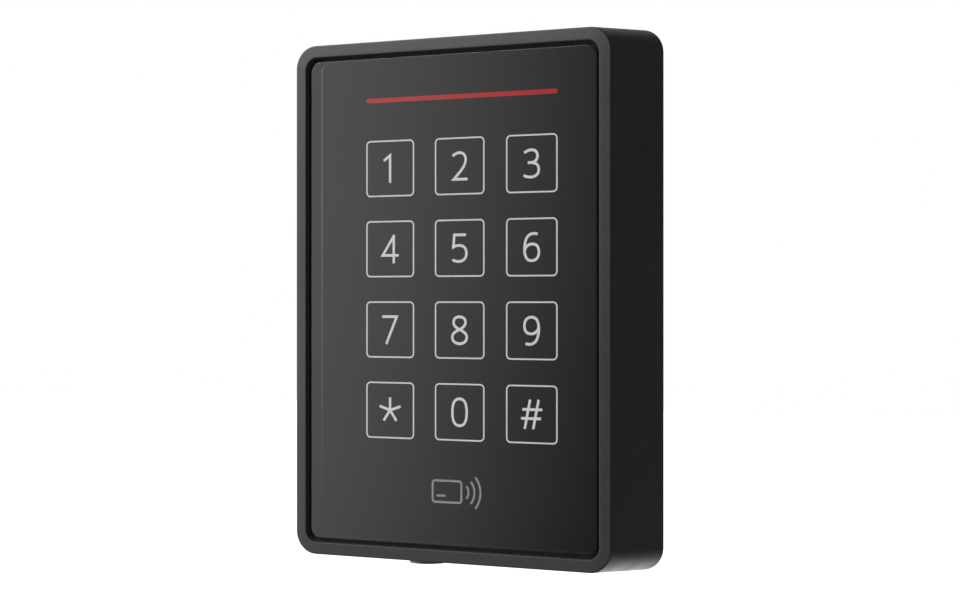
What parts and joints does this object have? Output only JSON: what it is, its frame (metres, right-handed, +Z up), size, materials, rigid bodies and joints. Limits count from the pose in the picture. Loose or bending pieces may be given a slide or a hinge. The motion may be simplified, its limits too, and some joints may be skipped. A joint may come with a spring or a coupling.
{
  "type": "keypad access reader",
  "caption": "Wall reader with a flared black housing, smoked touch keypad panel, red light bar, sealed electronics and a hook-on wall bracket held by one screw.",
  "frame": {"origin": "centre of the wall face, the flat back of the wall bracket", "axes": "+X to the right as seen from the front, +Z up, +Y into the wall; the keypad faces -Y"},
  "size_m": [0.0874, 0.025, 0.1246],
  "materials": {
    "housing_plastic": "fine spark texture, matte black",
    "smoked_cover": "glossy smoked polycarbonate",
    "legend_film": "satin black film with light printing",
    "red_lens": "red diffusing plastic",
    "clear_acrylic": "polished acrylic",
    "led_body": "moulded lamp bodies",
    "copper": "bright copper",
    "circuit_board": "green solder resist over glass laminate",
    "chip_plastic": "matte moulded package",
    "white_plastic": "plain white plastic",
    "ferrite": "dull dark ferrite",
    "connector_plastic": "ivory connector plastic",
    "zinc_steel": "zinc plated",
    "can_metal": "drawn metal can",
    "terminal_green": "green terminal plastic",
    "brass": "turned brass",
    "foam_rubber": "closed cell foam",
    "seal_rubber": "smooth black rubber",
    "rear_plastic": "satin black plastic",
    "bracket_plastic": "glass filled black plastic",
    "black_steel": "black passivated steel"
  },
  "bodies": {
    "bracket": {"wall_bracket": "bracket_plastic", "wall_gasket": "foam_rubber", "lug_insert": "brass"},
    "washer": {"screw_washer": "seal_rubber"},
    "screw": {"securing_screw": "black_steel"},
    "plunger": {"tamper_plunger": "white_plastic"},
    "plug": {"terminal_plug": "terminal_green", "terminal_screws": "zinc_steel"},
    "reader": {"front_housing": "housing_plastic", "front_cover": "smoked_cover", "cover_gasket": "foam_rubber", "legend_sheet": "legend_film", "light_bar_lens": "red_lens", "light_guide": "clear_acrylic", "key_leds": "led_body", "bar_leds": "led_body", "touch_electrodes": "copper", "sensor_board": "circuit_board", "touch_controller": "chip_plastic", "sensor_tape": "white_plastic", "antenna_board": "circuit_board", "antenna_coil": "copper", "ferrite_sheet": "ferrite", "board_socket": "connector_plastic", "board_plug": "chip_plastic", "main_board": "circuit_board", "board_screws": "zinc_steel", "microcontroller": "chip_plastic", "reader_chip": "chip_plastic", "radio_module": "can_metal", "buzzer": "chip_plastic", "bulk_capacitors": "can_metal", "power_inductor": "ferrite", "crystal": "can_metal", "tamper_switch": "chip_plastic", "tamper_spring": "zinc_steel", "terminal_header": "terminal_green", "header_pins": "brass", "terminal_gasket": "foam_rubber", "rear_cover": "rear_plastic", "rear_seal": "seal_rubber", "rear_cover_screws": "zinc_steel", "vent_membrane": "white_plastic", "hinge_pins": "zinc_steel"}
  },
  "joints": [
    {"name": "reader_swing", "type": "hinge", "parent": "bracket", "child": "reader", "pos_m": [0, -0.0029, 0.0565], "axis": [-1, 0, 0], "range_deg": [0, 11]},
    {"name": "screw_travel", "type": "slide", "parent": "bracket", "child": "washer", "axis": [0, 0, -1], "range_m": [0, 0.0035]},
    {"name": "screw_turn", "type": "hinge", "parent": "washer", "child": "screw", "pos_m": [-0.0133, -0.011, -0.0614], "axis": [0, 0, -1], "range_deg": [0, 1800]},
    {"name": "tamper_press", "type": "slide", "parent": "reader", "child": "plunger", "axis": [0, -1, 0], "range_m": [0, 0.001], "stiffness_N_per_m": 300, "springref_m": -0.001, "deforming": ["tamper_spring"]},
    {"name": "plug_pull", "type": "slide", "parent": "reader", "child": "plug", "axis": [0, 0, -1], "range_m": [0, 0.008]}
  ],
  "couplings": [
    {"joint": "screw_turn", "follows": "screw_travel", "rad_per_m": 8976}
  ]
}
